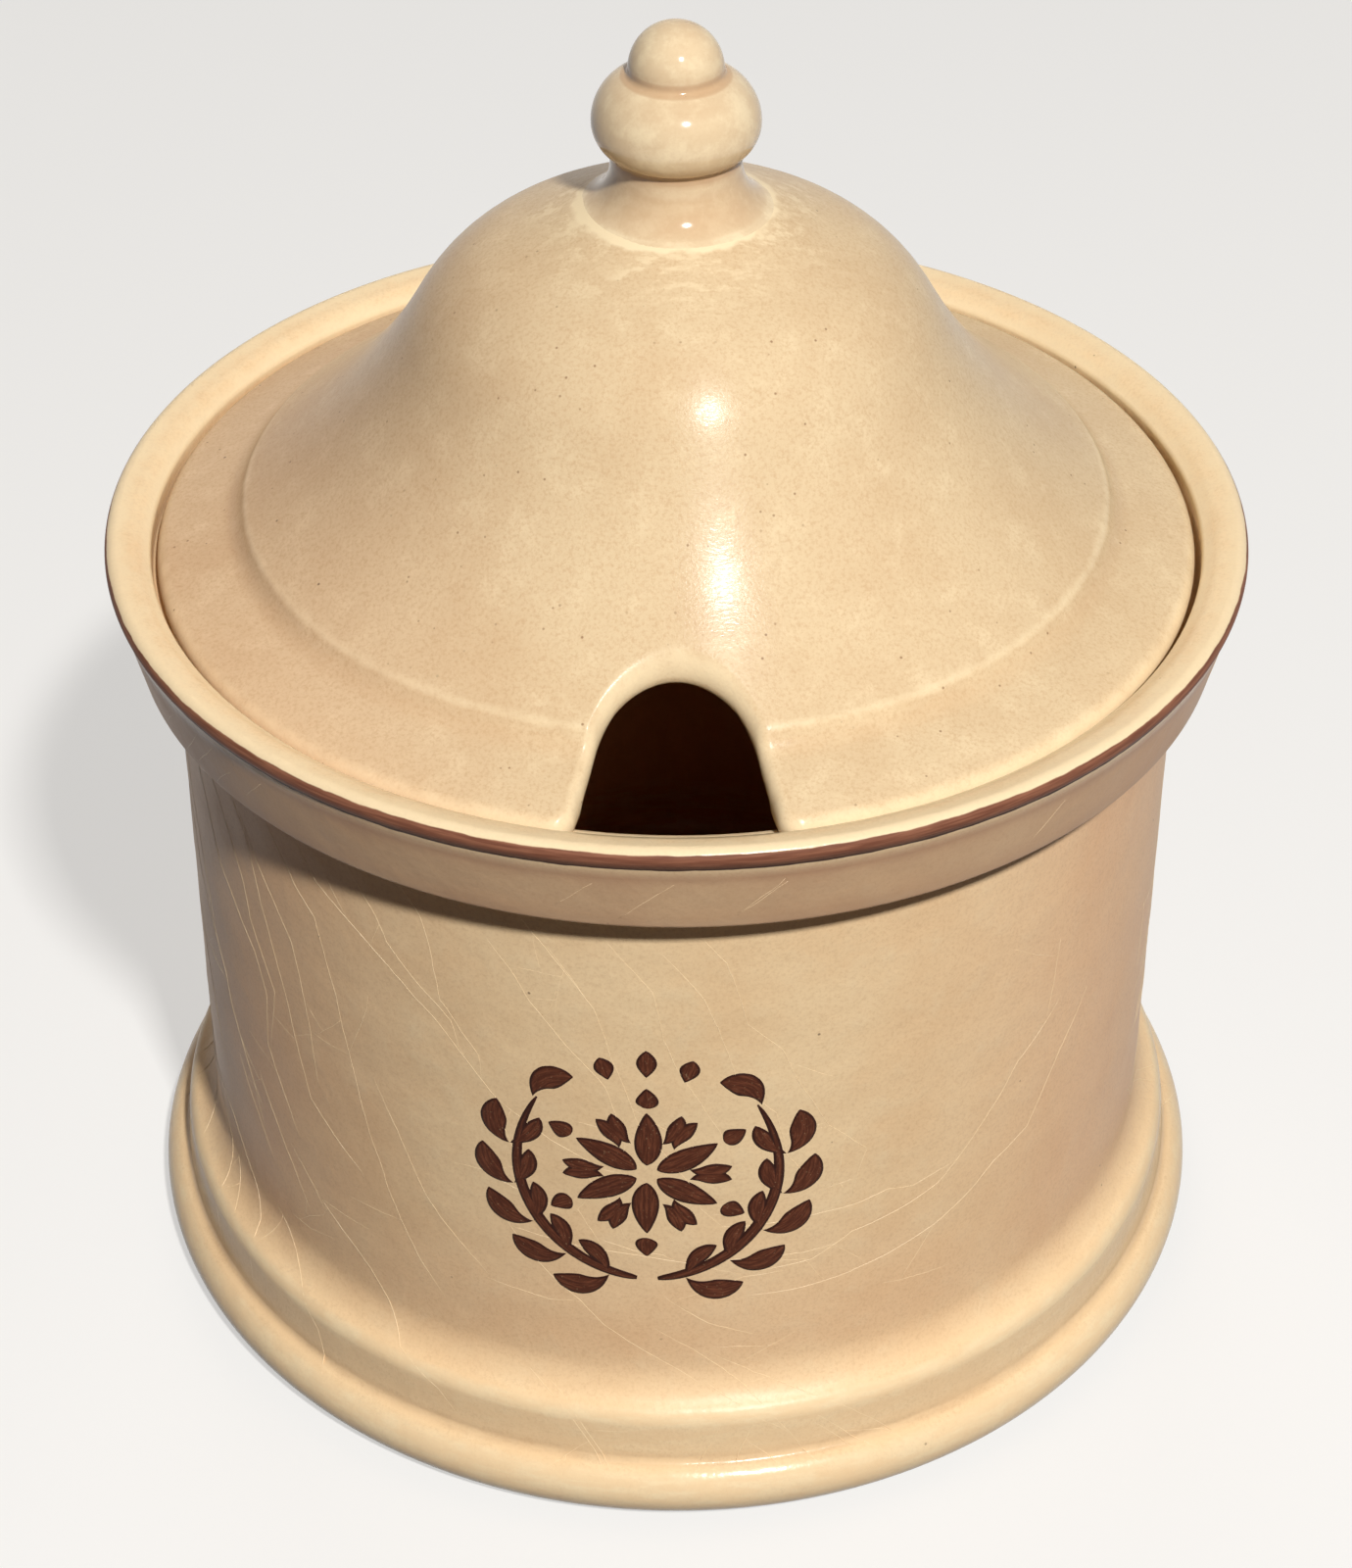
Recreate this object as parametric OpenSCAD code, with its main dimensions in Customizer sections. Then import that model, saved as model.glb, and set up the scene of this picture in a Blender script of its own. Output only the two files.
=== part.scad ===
// Stoneware ice bucket: a moulded crock, a domed lid with an arched notch, and the lid's turned knob.
// The crock stands on z = 0 with its axis on Z, and the notch faces the front, along -Y.
// An outline is a list of [radius, height, fillet] corners that is spun about Z. Sizes are in millimetres.

/* [Crock] */
// Outside radius of the rim, at the widest of the lip
rim_r = 105; // [96:1:120]
// Height of the crock, to the top of the lip
crock_h = 160; // [130:1:190]
// Thickness of the crock's wall
wall_t = 6.5; // [5:0.5:8]
// Thickness of the crock's floor
floor_t = 7; // [5:0.5:10]
// How much wider the wall is at the foot than under the collar, on the radius
wall_taper = 1.5; // [0:0.5:4]

/* [Collar] */
// Height of the collar, from its lower edge to the top of the lip
collar_h = 19.3; // [17:0.1:24]
// Overhang of the collar's lower edge past the wall
collar_step = 6.8; // [5:0.1:9]
// How far the collar leans out from its lower edge to the lip
collar_flare = 4.3; // [2:0.1:6]
// Thickness of the rounded lip
lip_t = 3.8; // [3:0.1:5]
// Thickness of the collar, from the lip to the wall round the lid
collar_t = 8.3; // [7:0.1:9]
// Slope of the collar's top, down from the lip to the lid, in degrees
top_slope = 27; // [15:1:35]
// Depth of the lid's seat below the top of the lip
gallery_depth = 7.6; // [7:0.1:10]

/* [Foot] */
// How far the foot bead stands out past the wall
foot_step = 12.1; // [9:0.1:14]
// Height of the foot bead
bead_h = 12.3; // [10:0.1:15]
// Height of the sloping shoulder's edge above the table
shoulder_z = 22.3; // [20:0.1:26]
// Depth of the hollow under the floor, inside the foot ring
foot_hollow = 4; // [2:0.5:6]

/* [Lid] */
// Radial gap between the lid and the collar
lid_gap = 0.9; // [0.6:0.1:2]
// Thickness of the lid's shell
lid_t = 4.6; // [4:0.1:6]
// Width of the brim, from the shoulder to the edge
brim_w = 16.5; // [13:0.5:20]
// Slope of the brim, in degrees
brim_slope = 18; // [12:1:22]
// Height of the step between the brim and the dome
step_h = 3.2; // [2:0.1:5]
// Radius of the crown's arc
crown_r = 35; // [28:1:40]
// Slope of the crown where it meets the knob, in degrees
crown_slope = 25; // [10:1:30]
// Slope of the dome where the crown turns into the flare, in degrees
turn_slope = 61; // [52:1:64]
// Slope at the foot of the flare, in degrees
flare_slope = 33; // [26:1:38]

/* [Notch] */
// Radius of the arch at the inner end of the notch
notch_r = 14.2; // [10:0.1:16]
// How far the notch reaches in from the lid's edge
notch_depth = 26.6; // [21:0.1:29]
// How far each side of the notch spreads, in degrees
notch_spread = 14.5; // [6:0.5:20]
// Radius of the two corners where the notch meets the lid's edge
notch_corner_r = 4; // [2:0.1:5]

/* [Knob] */
// Radius of the knob's ring, at its widest
knob_r = 14.7; // [13:0.1:17]
// Radius of the round above the ring's widest line
ring_top_round = 9.2; // [8.5:0.1:10]
// Radius of the round below the ring's widest line
ring_low_round = 6; // [5:0.1:8]
// Radius of the neck
neck_r = 11.5; // [10:0.1:12]
// Length of the neck's straight part, between the base and the ring
neck_l = 2.3; // [1:0.1:5]
// Radius of the spread base that sits on the crown
knob_base_r = 16.6; // [14.5:0.1:18]
// Radius of the ball on top
ball_r = 8.3; // [7.5:0.1:9.5]

/* [Hidden] */
// How far a round's straight pieces may stray from it, and the pieces round a turned solid
arc_error = 0.03;
turn_steps = 180;

// Crock: radii from the rim inward and down
wall_top_r = rim_r - collar_flare - collar_step;
wall_foot_r = wall_top_r + wall_taper;
collar_r = wall_top_r + collar_step;
foot_r = wall_foot_r + foot_step;
bead_c = [foot_r - bead_h / 2, bead_h / 2];
bead_end = 70;
shoulder_r = wall_foot_r + foot_step / 2;
shoulder_lean = 1.2;
shoulder_rise = 4;
ring_in_r = wall_foot_r - 6;
ring_bevel = 3;
collar_z = crock_h - collar_h;
seat_z = crock_h - gallery_depth;
lip_c = [rim_r - lip_t / 2, crock_h - lip_t / 2];
lip_start = -30;
lip_back = 0.9;
lip_top = lip_c + lip_t / 2 * [-sin(top_slope), cos(top_slope)];
gallery_r = rim_r - collar_t;
gallery_z = lip_top.y - (lip_top.x - gallery_r) * tan(top_slope);
bore_top_r = wall_top_r - wall_t;
bore_foot_r = wall_foot_r - wall_t;
floor_z = foot_hollow + floor_t;

// Lid: the crown's arc is tangent to the flare's arc where the slope is turn_slope
lid_r = gallery_r - lid_gap;
step_r = lid_r - brim_w;
step_run = step_h / 2;
valley_round = 2 * step_h;
ridge_round = 0.8 * step_h;
edge_z = seat_z + lid_t;
brim_top_z = edge_z + (brim_w - step_run) * tan(brim_slope);
step_z = brim_top_z + step_h;
turn_r = knob_base_r + crown_r * sin(turn_slope);
flare_r = (step_r - turn_r) / (sin(turn_slope) - sin(flare_slope));
flare_end = 270 - flare_slope - 2;
flare_c = [turn_r + flare_r * sin(turn_slope), step_z + flare_r * cos(flare_slope)];
crown_c = [knob_base_r, flare_c.y - (flare_r + crown_r) * cos(turn_slope)];
crown_z = crown_c.y + crown_r / cos(crown_slope);
hollow_z = crown_c.y + (crown_r - lid_t) / cos(crown_slope);
// The land is the flat ring under the brim that bears on the gallery
land_in_r = bore_top_r + 1.2;
land_step = 1.6;
under_z = seat_z + 0.3;

// Notch: the arch's centre, and the line of its right side as a normal and an offset
// Curves that would only touch cross by a small overlap
overlap = 0.03;
notch_c = [0, -(lid_r - notch_depth + notch_r)];
side_normal = [cos(notch_spread), sin(notch_spread)];
side_way = [sin(notch_spread), -cos(notch_spread)];
side_offset = side_normal * notch_c + notch_r - overlap;

// Knob: the neck spreads onto the crown in one round that ends at the crown's slope
neck_turn = 90 - crown_slope;
neck_round = (knob_base_r - neck_r) / (1 - cos(neck_turn));
neck_c = [neck_r + neck_round, neck_round * sin(neck_turn)];
// Two rounds meet at the ring's widest line, and the ball rises out of the ring at a softened crease
crease = 0.03;
crease_round = 1.1;
ring_low = -acos((neck_r - knob_r + ring_low_round) / ring_low_round);
ring_z = neck_c.y + neck_l - ring_low_round * sin(ring_low);
ring_low_c = [knob_r - ring_low_round, ring_z];
ring_top_c = [knob_r - ring_top_round, ring_z];
ring_high = acos((ball_r - crease - ring_top_c.x) / ring_top_round);
ball_low = -acos((ball_r - crease) / ball_r);
ball_c = [0, ring_z + ring_top_round * sin(ring_high) - ball_r * sin(ball_low)];
crease_c = meeting(ring_top_c, ring_top_round + crease_round, ball_c, ball_r + crease_round);
ring_end = heading(crease_c - ring_top_c);
ball_start = heading(crease_c - ball_c);

glaze = [0.87, 0.74, 0.55];
pale_glaze = [0.91, 0.80, 0.62];

function unit(v) = v / norm(v);

function heading(v) = atan2(v.y, v.x);

// The point right of the way from a to b that lies reach_a from a and reach_b from b
function meeting(a, reach_a, b, reach_b) =
    let (
        apart = norm(b - a),
        way = unit(b - a),
        along = (reach_a * reach_a - reach_b * reach_b + apart * apart) / (2 * apart),
        aside = sqrt(reach_a * reach_a - along * along)
    )
    a + along * way + aside * [way.y, -way.x];

// How many straight pieces a round takes
function pieces(r, sweep) = ceil(abs(sweep) / 2 / acos(1 - arc_error / r));

// Points on an arc about c, from angle a0 to angle a1
function arc(c, r, a0, a1) =
    let (n = pieces(r, a1 - a0))
    [for (i = [0:n]) let (a = a0 + (a1 - a0) * i / n) c + r * [cos(a), sin(a)]];

function turned(v, a) = [v.x * cos(a) - v.y * sin(a), v.x * sin(a) + v.y * cos(a)];

// One corner b between a and c, rounded to radius r
function corner(a, b, c, r) =
    let (
        u = unit(a - b),
        v = unit(c - b),
        half = acos(u * v) / 2,
        centre = b + unit(u + v) * r / sin(half),
        start = b + u * r / tan(half) - centre,
        end = b + v * r / tan(half) - centre,
        sweep = sign(cross(start, end)) * (180 - 2 * half),
        n = pieces(r, sweep)
    )
    [for (i = [0:n]) centre + turned(start, sweep * i / n)];

function flat(p) = [p.x, p.y];

// An outline whose [radius, height, fillet] corners are rounded; a corner of two numbers stays sharp
function rounded(pts) =
    let (n = len(pts))
    [for (i = [0:n - 1])
        let (b = pts[i], r = len(b) > 2 ? b[2] : 0)
        each r > 0 ? corner(flat(pts[(i + n - 1) % n]), flat(b), flat(pts[(i + 1) % n]), r) : [flat(b)]];

module spin(pts) {
    rotate_extrude($fn = turn_steps)
        polygon(rounded(pts));
}

// The crock, from the hollow underneath, round the foot and up the wall to the lip, then down inside
module crock() {
    color(glaze)
    spin(concat(
        [
            [0, foot_hollow],
            [ring_in_r, foot_hollow, 1.5],
            [ring_in_r + ring_bevel, 0, 1.5]
        ],
        arc(bead_c, bead_h / 2, -90, bead_end),
        [
            [shoulder_r + shoulder_lean, bead_h, 0.5],
            [shoulder_r, shoulder_z, 4],
            [wall_foot_r, shoulder_z + shoulder_rise, 9],
            [wall_top_r, collar_z, 1.5],
            [collar_r, collar_z, 1.2],
            [rim_r - lip_back, lip_c.y - lip_t / 2, 2]
        ],
        arc(lip_c, lip_t / 2, lip_start, 90 + top_slope),
        [
            [gallery_r, gallery_z, 1.2],
            [gallery_r, seat_z, 1],
            [bore_top_r, seat_z, 1],
            [bore_foot_r, floor_z, 14],
            [0, floor_z]
        ]
    ));
}

// The lid's shell before the notch is cut: the outside from the edge to the crown, then the inside back
module lid_shell() {
    spin(concat(
        [
            [lid_r, seat_z, 1.6],
            [lid_r, edge_z, 2.4],
            [step_r + step_run, brim_top_z, valley_round],
            [step_r, step_z, ridge_round]
        ],
        arc(flare_c, flare_r, flare_end, 270 - turn_slope),
        arc(crown_c, crown_r, 90 - turn_slope, 90 - crown_slope),
        [
            [knob_base_r, crown_z],
            [0, crown_z],
            [0, hollow_z],
            [knob_base_r, hollow_z, 5]
        ],
        arc(crown_c, crown_r - lid_t, 90 - crown_slope, 90 - turn_slope),
        arc(flare_c, flare_r + lid_t, 270 - turn_slope, flare_end),
        [
            [step_r + step_run - lid_t * sin(brim_slope), brim_top_z - lid_t * cos(brim_slope), 2],
            [land_in_r - land_step, under_z + (lid_r - lid_t / 2 - land_in_r) * tan(brim_slope), 1],
            [land_in_r, seat_z, 0.8]
        ]
    ));
}

// The sharp corner between the notch's right side and the lid's edge, outside a round of notch_corner_r
module notch_corner() {
    reach = lid_r - notch_corner_r + overlap;
    across = side_offset + notch_corner_r - overlap;
    centre = side_normal * across + side_way * sqrt(reach * reach - across * across);
    tip = side_normal * side_offset + side_way * sqrt(lid_r * lid_r - side_offset * side_offset);
    difference() {
        polygon([
            centre,
            centre - side_normal * (notch_corner_r + 0.2),
            tip * 1.03,
            unit(centre) * lid_r * 1.03
        ]);
        translate(centre)
            circle(r = notch_corner_r, $fn = 48);
    }
}

// The notch seen from above: an arch whose sides spread towards the lid's edge
module notch_plan() {
    inner = notch_c + side_normal * (notch_r - overlap);
    outer = inner + side_way * 2 * notch_depth;
    translate(notch_c)
        circle(r = notch_r, $fn = 96);
    polygon([[-inner.x, inner.y], [-outer.x, outer.y], outer, inner]);
    notch_corner();
    mirror([1, 0])
        notch_corner();
}

module lid() {
    color(glaze)
    difference() {
        lid_shell();
        translate([0, 0, seat_z - 1])
            linear_extrude(crown_z - seat_z)
                notch_plan();
    }
}

// The knob, turned on its own and stuck to the crown with slip before firing
module knob() {
    color(pale_glaze)
    translate([0, 0, crown_z])
    spin(concat(
        [[0, 0]],
        arc(neck_c, neck_round, 180 + neck_turn, 180),
        arc(ring_low_c, ring_low_round, ring_low, 0),
        arc(ring_top_c, ring_top_round, 0, ring_end),
        arc(crease_c, crease_round, 180 + ring_end, 180 + ball_start),
        arc(ball_c, ball_r, ball_start, 90)
    ));
}

crock();
lid();
knob();
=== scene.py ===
"""A stoneware ice bucket in satin cream glaze: crock, notched lid, turned knob and painted ornament.

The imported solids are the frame: +Z up, the notch to the front along -Y, metres.
Outlines and ornament are drawn in millimetres and turned into metres where a mesh is made.
"""

import math
import random

import bmesh
import bpy
import numpy as np
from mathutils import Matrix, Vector, geometry


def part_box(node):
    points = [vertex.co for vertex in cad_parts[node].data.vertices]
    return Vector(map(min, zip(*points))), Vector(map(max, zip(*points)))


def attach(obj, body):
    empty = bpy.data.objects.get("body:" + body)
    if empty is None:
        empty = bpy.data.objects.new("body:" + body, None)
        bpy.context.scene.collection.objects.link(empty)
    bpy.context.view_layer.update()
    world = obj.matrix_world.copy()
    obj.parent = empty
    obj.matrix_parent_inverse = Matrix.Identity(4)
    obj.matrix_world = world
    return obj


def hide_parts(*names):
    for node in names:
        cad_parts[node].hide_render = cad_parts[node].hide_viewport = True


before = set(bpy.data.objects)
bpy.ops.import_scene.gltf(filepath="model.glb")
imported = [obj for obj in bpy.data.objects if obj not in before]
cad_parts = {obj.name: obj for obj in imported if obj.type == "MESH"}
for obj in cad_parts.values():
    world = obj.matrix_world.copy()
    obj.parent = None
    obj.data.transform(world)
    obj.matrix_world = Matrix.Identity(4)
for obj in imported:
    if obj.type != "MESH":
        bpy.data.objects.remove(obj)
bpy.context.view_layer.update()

MM = 0.001

# Camera, from the circles of the rim, lid and foot in the photograph
CAMERA_PLACE = (0.0, -0.5114, 0.4866)
CAMERA_PITCH = 37.53
CAMERA_LENS = 75.0
CAMERA_SENSOR = 36.0

# Light: where the lamps point, their colours, how bright the room is, and how it and the floor look
LAMP_AIM = Vector((0, 0, 0.13))
KEY_COLOUR = (1, 0.985, 0.96)
FRONT_COLOUR = (1, 0.93, 0.86)
BACK_COLOUR = (1, 0.90, 0.79)
ROOM_LEVEL = 0.02
ROOM_TINT = (1, 0.62, 0.44)
BACKDROP_LEVEL = 0.64
BACKDROP = (0.96, 0.95, 0.93)
FLOOR = (0.31, 0.307, 0.302)
FLOOR_BOUNCE = (0.032, 0.017, 0.01)
FLOOR_GLOW = 0.61

# Fineness of the meshes
TURN_STEPS = 288
KNOB_STEPS = 160
FILLET_STEPS = 10
ARC_DEGREES = 3.0
ROW_SPACING = 2.5
EDGE_LAYERS = 10

# Colours of the ware, as linear values
CREAM = (0.84, 0.635, 0.385)
TAN = (0.80, 0.575, 0.335)
# Painted shade: a warm tint multiplied in where the ware is turned from the key lamp
SHADE_TINT = (1.0, 0.865, 0.84)
PALE = (0.84, 0.69, 0.45)
KNOB = (0.79, 0.64, 0.415)
SAND = (0.695, 0.535, 0.333)
DARK_SAND = (0.65, 0.48, 0.29)
POOLED = (0.50, 0.30, 0.155)
SPECK = (0.10, 0.055, 0.03)
PIT = (0.28, 0.16, 0.085)
CRACK = (0.87, 0.68, 0.43)
# Painted shade on the collar's face
COLLAR_SHADE = (0.50, 0.28, 0.16)
LIP_BROWN = (0.16, 0.058, 0.033)
# The band's warm brown, also painted as the lip's shadow just under the band
LIP_WARM_AND_SHADE = (0.27, 0.112, 0.064)
BROWN = (0.070, 0.020, 0.0105)
# Dark brown of the ornament's outline, also painted as a shadow line along the band's lower edge
DARK_BROWN_AND_SHADE = (0.030, 0.009, 0.006)
INSIDE = (0.74, 0.40, 0.22)
WARM_BROWN = (0.16, 0.052, 0.027)
CLAY = (0.55, 0.38, 0.24)


# Sine, cosine and tangent of an angle in degrees
def sin(degrees):
    return math.sin(math.radians(degrees))


def cos(degrees):
    return math.cos(math.radians(degrees))


def tan(degrees):
    return math.tan(math.radians(degrees))


def box_mm(node):
    """A CAD node's lowest and highest corners in millimetres."""
    low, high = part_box(node)
    return low / MM, high / MM


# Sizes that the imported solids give
crock_high = box_mm("crock")[1]
lid_low, lid_high = box_mm("lid")
knob_low, knob_high = box_mm("knob")
foot_r = crock_high.x
crock_h = crock_high.z
lid_r = lid_high.x
seat_z = lid_low.z
crown_z = knob_low.z
knob_base_r = knob_high.x

# Crock
rim_r = foot_r - 2.5
wall_foot_r = foot_r - 12.1
wall_top_r = wall_foot_r - 1.5
wall_t = 6.5
collar_z = crock_h - 19.3
collar_r = wall_top_r + 6.8
lip_t = 3.8
lip_c = (rim_r - lip_t / 2, crock_h - lip_t / 2)
top_slope = 27
top_ease = 15
brow_w = 3
gallery_r = lid_r + 0.9
bead_h = 12.3
shoulder_r = wall_foot_r + 6.05
shoulder_z = 22.3
shoulder_top_z = shoulder_z + 4
foot_hollow = 4
floor_z = foot_hollow + 7
ring_in_r = wall_foot_r - 6
bore_top_r = wall_top_r - wall_t
bore_foot_r = wall_foot_r - wall_t
BAND_FOOT_Z = 155.0
BAND_TURN = 42

# Lid
lid_t = 4.6
brim_slope = 18
brim_w = 16.5
step_r = lid_r - brim_w
step_h = 3.2
step_run = step_h / 2
edge_z = seat_z + lid_t
brim_top_z = edge_z + (brim_w - step_run) * tan(brim_slope)
step_z = brim_top_z + step_h
crown_r = 35
crown_slope = 25
turn_slope = 61
flare_slope = 33
turn_r = knob_base_r + crown_r * sin(turn_slope)
flare_r = (step_r - turn_r) / (sin(turn_slope) - sin(flare_slope))
flare_c = (turn_r + flare_r * sin(turn_slope), step_z + flare_r * cos(flare_slope))
crown_c = (knob_base_r, flare_c[1] - (flare_r + crown_r) * cos(turn_slope))
hollow_z = crown_c[1] + (crown_r - lid_t) / cos(crown_slope)
land_in_r = bore_top_r + 1.2
edge_reach = 2.6
brim_round = 2.3
under_round = 1.6

# Notch
notch_r = 14.2
notch_depth = 26.6
notch_y = -(lid_r - notch_depth + notch_r)
notch_spread = 14.5
notch_corner_r = 4

# Knob
knob_r = 14.7
ring_top_round = 9.2
ring_low_round = 6
neck_r = 11.5
neck_l = 2.3
ball_r = 8.3
crease = 0.03
crease_round = 1.1

# Ornament on the front of the wall
ornament_z = 79
ornament_x = -5.2
paint_t = 0.18

# Cracks: width, height, steps, degrees of a kink, half the way round, and the end of a stretch with few
CRACK_W = 0.13
CRACK_LIFT = 0.05
CRACK_STEP = 1.8
KINK = 13
HALF_ROUND = math.pi * wall_top_r
QUIET_END = 110


def arc(centre, radius, start, end):
    """Points on an arc about centre, from angle start to angle end in degrees."""
    count = max(6, math.ceil(abs(end - start) / ARC_DEGREES))
    angles = np.radians(np.linspace(start, end, count + 1))
    return [(centre[0] + radius * math.cos(a), centre[1] + radius * math.sin(a)) for a in angles]


def fillet(before, corner, after, radius):
    """The round of one corner between two straight sides."""
    corner = np.array(corner[:2], float)
    u = np.array(before[:2], float) - corner
    v = np.array(after[:2], float) - corner
    u /= np.linalg.norm(u)
    v /= np.linalg.norm(v)
    half = math.acos(np.clip(u @ v, -1, 1)) / 2
    middle = (u + v) / np.linalg.norm(u + v)
    centre = corner + middle * radius / math.sin(half)
    start = corner + u * radius / math.tan(half) - centre
    end = corner + v * radius / math.tan(half) - centre
    sweep = math.copysign(math.pi - 2 * half, start[0] * end[1] - start[1] * end[0])
    points = []
    for i in range(FILLET_STEPS + 1):
        a = sweep * i / FILLET_STEPS
        x = start[0] * math.cos(a) - start[1] * math.sin(a)
        y = start[0] * math.sin(a) + start[1] * math.cos(a)
        points.append((centre[0] + x, centre[1] + y))
    return points


def rounded(corners):
    """An open outline with (radius, height, fillet) corners rounded; a corner of two numbers stays."""
    points = []
    for i, corner in enumerate(corners):
        if len(corner) > 2 and 0 < i < len(corners) - 1:
            points += fillet(corners[i - 1], corner, corners[i + 1], corner[2])
        else:
            points.append(tuple(corner[:2]))
    return np.array(points)


def divided(outline, spacing):
    """The outline with its long sides cut into pieces no longer than spacing."""
    rows = [outline[0]]
    for a, b in zip(outline[:-1], outline[1:]):
        count = max(1, math.ceil(np.linalg.norm(b - a) / spacing))
        for i in range(1, count + 1):
            rows.append(a + (b - a) * i / count)
    keep = [0]
    for i in range(1, len(rows)):
        if np.linalg.norm(rows[i] - rows[keep[-1]]) > 1e-4:
            keep.append(i)
    return np.array(rows)[keep]


def arc_length(outline):
    """Distance along the outline from its first point."""
    return np.concatenate(([0], np.cumsum(np.linalg.norm(np.diff(outline, axis=0), axis=1))))


def leftward(steps):
    """The way to the left of each step of a path, one unit long."""
    ahead = steps / np.linalg.norm(steps, axis=1)[:, None]
    return np.column_stack((-ahead[:, 1], ahead[:, 0]))


def convexity(outline, reach):
    """How sharply the outline turns at each point, over reach: 1 on a proud edge, -1 in a hollow."""
    along = arc_length(outline)
    step = np.diff(outline, axis=0)
    heading = np.unwrap(np.arctan2(step[:, 1], step[:, 0]))
    turn = np.concatenate(([0], np.diff(heading), [0]))
    weight = np.exp(-((along[:, None] - along[None, :]) / reach) ** 2)
    return np.tanh(1.6 * (weight * turn[None, :]).sum(1))


def wobble(angle, z):
    """How far hand-turned ware strays from round, in millimetres on the radius."""
    slow = 0.16 * np.sin(2 * angle + 0.7 + z / 90)
    quick = 0.09 * np.sin(3 * angle - 1.1 - z / 60)
    rings = 0.03 * np.sin(z / 2.9 + 0.8 * np.sin(angle))
    return slow + quick + rings


def new_object(name, data):
    """A new object in the scene."""
    made = bpy.data.objects.new(name, data)
    bpy.context.scene.collection.objects.link(made)
    return made


def mesh_object(name, points, faces, attributes):
    """A smooth closed mesh from points in millimetres, with float attributes on its points."""
    mesh = bpy.data.meshes.new(name)
    mesh.from_pydata((np.asarray(points) * MM).tolist(), [], faces)
    for label, values in attributes.items():
        layer = mesh.attributes.new(label, "FLOAT", "POINT")
        layer.data.foreach_set("value", np.asarray(values, np.float32))
    shell = bmesh.new()
    shell.from_mesh(mesh)
    bmesh.ops.recalc_face_normals(shell, faces=shell.faces)
    shell.to_mesh(mesh)
    shell.free()
    mesh.shade_smooth()
    return new_object(name, mesh)


def sleeve(rows):
    """Faces between each closed row of numbered points and the next."""
    faces = []
    for a, b in zip(rows[:-1], rows[1:]):
        faces += np.column_stack((a, np.roll(a, -1), np.roll(b, -1), b)).tolist()
    return faces


def revolve(name, outline, steps, attributes, stray=1.0):
    """A piece turned about Z from an outline that starts and ends on the axis."""
    rows = outline[1:-1]
    angles = np.linspace(0, 2 * math.pi, steps, endpoint=False)
    radius = rows[:, :1] + stray * wobble(angles[None, :], rows[:, 1:]) * np.clip(rows[:, :1] / 40, 0, 1)
    height = np.repeat(rows[:, 1:], steps, axis=1)
    ring = np.stack((radius * np.cos(angles), radius * np.sin(angles), height), axis=2).reshape(-1, 3)
    first = (0, 0, outline[0, 1])
    last = (0, 0, outline[-1, 1])
    points = np.vstack((ring, [first, last]))
    faces = sleeve(np.arange(len(ring)).reshape(-1, steps))
    base = len(ring)
    top = (len(rows) - 1) * steps
    for j in range(steps):
        k = (j + 1) % steps
        faces.append((base, k, j))
        faces.append((base + 1, top + j, top + k))
    spread = {}
    for label, values in attributes.items():
        spread[label] = np.concatenate((np.repeat(values[1:-1], steps), [values[0], values[-1]]))
    return mesh_object(name, points, faces, spread)


def nearest(outline, radius, height):
    """The number of the outline's point nearest to a radius and height."""
    return int(np.argmin(np.hypot(outline[:, 0] - radius, outline[:, 1] - height)))


def tube(start, count, row):
    """Faces of a closed tube of count rows of row points each, the first one numbered start."""
    rows = start + np.arange(count * row).reshape(count, row)
    return sleeve(rows) + [rows[0].tolist(), rows[-1, ::-1].tolist()]


def crock_outline():
    """The crock from underneath: hollow foot, bead, shoulder, wall, collar, lip, gallery and bore."""
    bead_c = (foot_r - bead_h / 2, bead_h / 2)
    lip_top = (lip_c[0] - lip_t / 2 * sin(top_slope), lip_c[1] + lip_t / 2 * cos(top_slope))
    gallery_z = lip_top[1] - (lip_top[0] - gallery_r) * tan(top_slope)
    brow = (
        lip_c[0] - lip_t / 2 * sin(top_ease) - brow_w,
        lip_c[1] + lip_t / 2 * cos(top_ease) - brow_w * tan(top_ease),
    )
    corners = [
        (0, foot_hollow),
        (ring_in_r, foot_hollow, 1.5),
        (ring_in_r + 3, 0, 1.5),
        *arc(bead_c, bead_h / 2, -90, 62),
        (shoulder_r + 1.2, bead_h, 1.8),
        (shoulder_r, shoulder_z, 4.5),
        (wall_foot_r, shoulder_top_z, 9),
        (wall_top_r, collar_z, 1.5),
        (collar_r, collar_z, 1.4),
        (rim_r - 0.9, lip_c[1] - lip_t / 2, 2),
        *arc(lip_c, lip_t / 2, -30, 90 + top_ease),
        (*brow, 5),
        (gallery_r, gallery_z, 1.4),
        (gallery_r, seat_z, 1),
        (bore_top_r, seat_z, 4.5),
        (bore_foot_r, floor_z, 14),
        (0, floor_z),
    ]
    return divided(rounded(corners), ROW_SPACING)


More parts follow.
